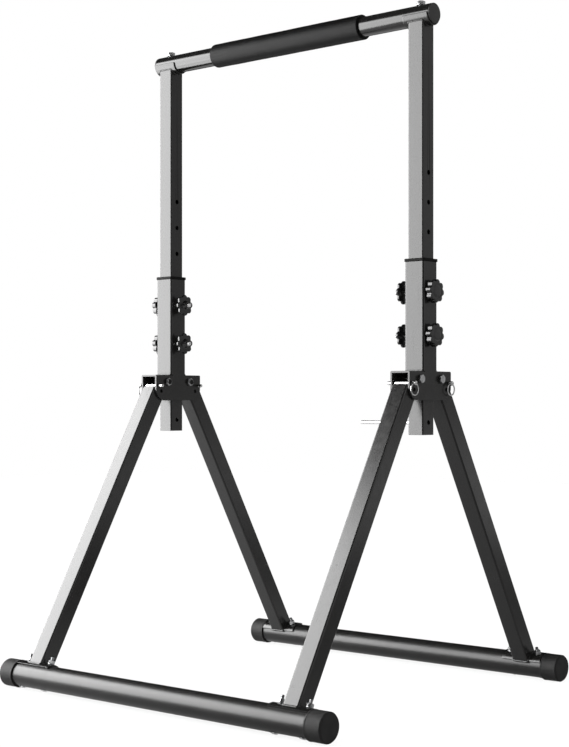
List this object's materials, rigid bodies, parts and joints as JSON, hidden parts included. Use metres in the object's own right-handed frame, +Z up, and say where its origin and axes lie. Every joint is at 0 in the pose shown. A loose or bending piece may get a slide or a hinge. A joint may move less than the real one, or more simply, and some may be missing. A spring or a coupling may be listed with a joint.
{
  "type": "foldable dip and pull-up bar stand",
  "caption": "Free-standing bar stand: padded crossbar on telescoping posts in sleeves with star knobs, on hinged folding legs with round base tubes.",
  "frame": {"origin": "on the floor, in the middle of the four end caps", "axes": "+X to the right along the crossbar, +Y to the back, +Z up"},
  "size_m": [0.94, 0.9186, 1.5034],
  "materials": {
    "paint": "semi-gloss black powder coat on steel tube and plate",
    "chrome": "bright chrome",
    "zinc": "zinc plated fasteners",
    "plastic": "black moulded plastic",
    "rubber": "matte black rubber",
    "foam": "closed-cell foam sleeve, matte black"
  },
  "bodies": {
    "centre": {"sleeve_left": "paint", "collar_left": "plastic", "bracket_left": "paint", "pivot_bolt_left_front": "zinc", "pivot_bolt_left_back": "zinc", "knob_nut_left_upper": "chrome", "knob_nut_left_lower": "chrome", "sleeve_right": "paint", "collar_right": "plastic", "bracket_right": "paint", "pivot_bolt_right_front": "zinc", "pivot_bolt_right_back": "zinc", "knob_nut_right_upper": "chrome", "knob_nut_right_lower": "chrome"},
    "upper_frame": {"crossbar": "paint", "grip": "foam", "crossbar_cap_left": "plastic", "inner_post_left": "paint", "saddle_left": "paint", "crossbar_bolt_left": "zinc", "crossbar_cap_right": "plastic", "inner_post_right": "paint", "saddle_right": "paint", "crossbar_bolt_right": "zinc"},
    "stop_pin": {"stop_pin": "chrome"},
    "front_leg_frame": {"base_tube_front": "paint", "leg_left_front": "paint", "base_cap_left_front": "rubber", "foot_bolt_left_front_inner": "zinc", "foot_bolt_left_front_outer": "zinc", "leg_right_front": "paint", "base_cap_right_front": "rubber", "foot_bolt_right_front_inner": "zinc", "foot_bolt_right_front_outer": "zinc"},
    "back_leg_frame": {"base_tube_back": "paint", "leg_left_back": "paint", "base_cap_left_back": "rubber", "foot_bolt_left_back_inner": "zinc", "foot_bolt_left_back_outer": "zinc", "leg_right_back": "paint", "base_cap_right_back": "rubber", "foot_bolt_right_back_inner": "zinc", "foot_bolt_right_back_outer": "zinc"},
    "lock_pin_left_front": {"lock_pin_left_front": "chrome"},
    "lock_ring_left_front": {"lock_ring_left_front": "chrome"},
    "lock_pin_left_back": {"lock_pin_left_back": "chrome"},
    "lock_ring_left_back": {"lock_ring_left_back": "chrome"},
    "knob_left_outer_upper": {"knob_left_outer_upper": "plastic"},
    "knob_left_outer_lower": {"knob_left_outer_lower": "plastic"},
    "knob_left_inner_upper": {"knob_left_inner_upper": "plastic"},
    "knob_left_inner_lower": {"knob_left_inner_lower": "plastic"},
    "lock_pin_right_front": {"lock_pin_right_front": "chrome"},
    "lock_ring_right_front": {"lock_ring_right_front": "chrome"},
    "lock_pin_right_back": {"lock_pin_right_back": "chrome"},
    "lock_ring_right_back": {"lock_ring_right_back": "chrome"},
    "knob_right_outer_upper": {"knob_right_outer_upper": "plastic"},
    "knob_right_outer_lower": {"knob_right_outer_lower": "plastic"},
    "knob_right_inner_upper": {"knob_right_inner_upper": "plastic"},
    "knob_right_inner_lower": {"knob_right_inner_lower": "plastic"}
  },
  "joints": [
    {"name": "height_slide", "type": "slide", "parent": "centre", "child": "upper_frame", "axis": [0, 0, 1], "range_m": [-0.2536, 0.044]},
    {"name": "stop_pin_slide", "type": "slide", "parent": "upper_frame", "child": "stop_pin", "axis": [-1, 0, 0], "range_m": [0, 0.045]},
    {"name": "front_fold", "type": "hinge", "parent": "centre", "child": "front_leg_frame", "pos_m": [0, -0.0376, 0.6954], "axis": [1, 0, 0], "range_deg": [0, 29.8]},
    {"name": "back_fold", "type": "hinge", "parent": "centre", "child": "back_leg_frame", "pos_m": [0, 0.0376, 0.6954], "axis": [-1, 0, 0], "range_deg": [0, 29.8]},
    {"name": "lock_pin_left_front_pull", "type": "slide", "parent": "centre", "child": "lock_pin_left_front", "axis": [-1, 0, 0], "range_m": [0, 0.07]},
    {"name": "lock_ring_left_front_swing", "type": "hinge", "parent": "lock_pin_left_front", "child": "lock_ring_left_front", "pos_m": [-0.4065, -0.0672, 0.68619], "axis": [0, 1, 0], "range_deg": [-8, 90]},
    {"name": "lock_pin_left_back_pull", "type": "slide", "parent": "centre", "child": "lock_pin_left_back", "axis": [-1, 0, 0], "range_m": [0, 0.07]},
    {"name": "lock_ring_left_back_swing", "type": "hinge", "parent": "lock_pin_left_back", "child": "lock_ring_left_back", "pos_m": [-0.4065, 0.0672, 0.68619], "axis": [0, 1, 0], "range_deg": [-8, 90]},
    {"name": "knob_left_outer_upper_turn", "type": "hinge", "parent": "centre", "child": "knob_left_outer_upper", "pos_m": [-0.375, 0, 0.882], "axis": [-1, 0, 0], "range_deg": [0, 1080]},
    {"name": "knob_left_outer_lower_turn", "type": "hinge", "parent": "centre", "child": "knob_left_outer_lower", "pos_m": [-0.375, 0, 0.7887], "axis": [-1, 0, 0], "range_deg": [0, 1080]},
    {"name": "knob_left_inner_upper_turn", "type": "hinge", "parent": "centre", "child": "knob_left_inner_upper", "pos_m": [-0.375, 0, 0.882], "axis": [1, 0, 0], "range_deg": [0, 1080]},
    {"name": "knob_left_inner_lower_turn", "type": "hinge", "parent": "centre", "child": "knob_left_inner_lower", "pos_m": [-0.375, 0, 0.7887], "axis": [1, 0, 0], "range_deg": [0, 1080]},
    {"name": "lock_pin_right_front_pull", "type": "slide", "parent": "centre", "child": "lock_pin_right_front", "axis": [1, 0, 0], "range_m": [0, 0.07]},
    {"name": "lock_ring_right_front_swing", "type": "hinge", "parent": "lock_pin_right_front", "child": "lock_ring_right_front", "pos_m": [0.4065, -0.0672, 0.68619], "axis": [0, -1, 0], "range_deg": [-8, 90]},
    {"name": "lock_pin_right_back_pull", "type": "slide", "parent": "centre", "child": "lock_pin_right_back", "axis": [1, 0, 0], "range_m": [0, 0.07]},
    {"name": "lock_ring_right_back_swing", "type": "hinge", "parent": "lock_pin_right_back", "child": "lock_ring_right_back", "pos_m": [0.4065, 0.0672, 0.68619], "axis": [0, -1, 0], "range_deg": [-8, 90]},
    {"name": "knob_right_outer_upper_turn", "type": "hinge", "parent": "centre", "child": "knob_right_outer_upper", "pos_m": [0.375, 0, 0.882], "axis": [1, 0, 0], "range_deg": [0, 1080]},
    {"name": "knob_right_outer_lower_turn", "type": "hinge", "parent": "centre", "child": "knob_right_outer_lower", "pos_m": [0.375, 0, 0.7887], "axis": [1, 0, 0], "range_deg": [0, 1080]},
    {"name": "knob_right_inner_upper_turn", "type": "hinge", "parent": "centre", "child": "knob_right_inner_upper", "pos_m": [0.375, 0, 0.882], "axis": [-1, 0, 0], "range_deg": [0, 1080]},
    {"name": "knob_right_inner_lower_turn", "type": "hinge", "parent": "centre", "child": "knob_right_inner_lower", "pos_m": [0.375, 0, 0.7887], "axis": [-1, 0, 0], "range_deg": [0, 1080]}
  ]
}
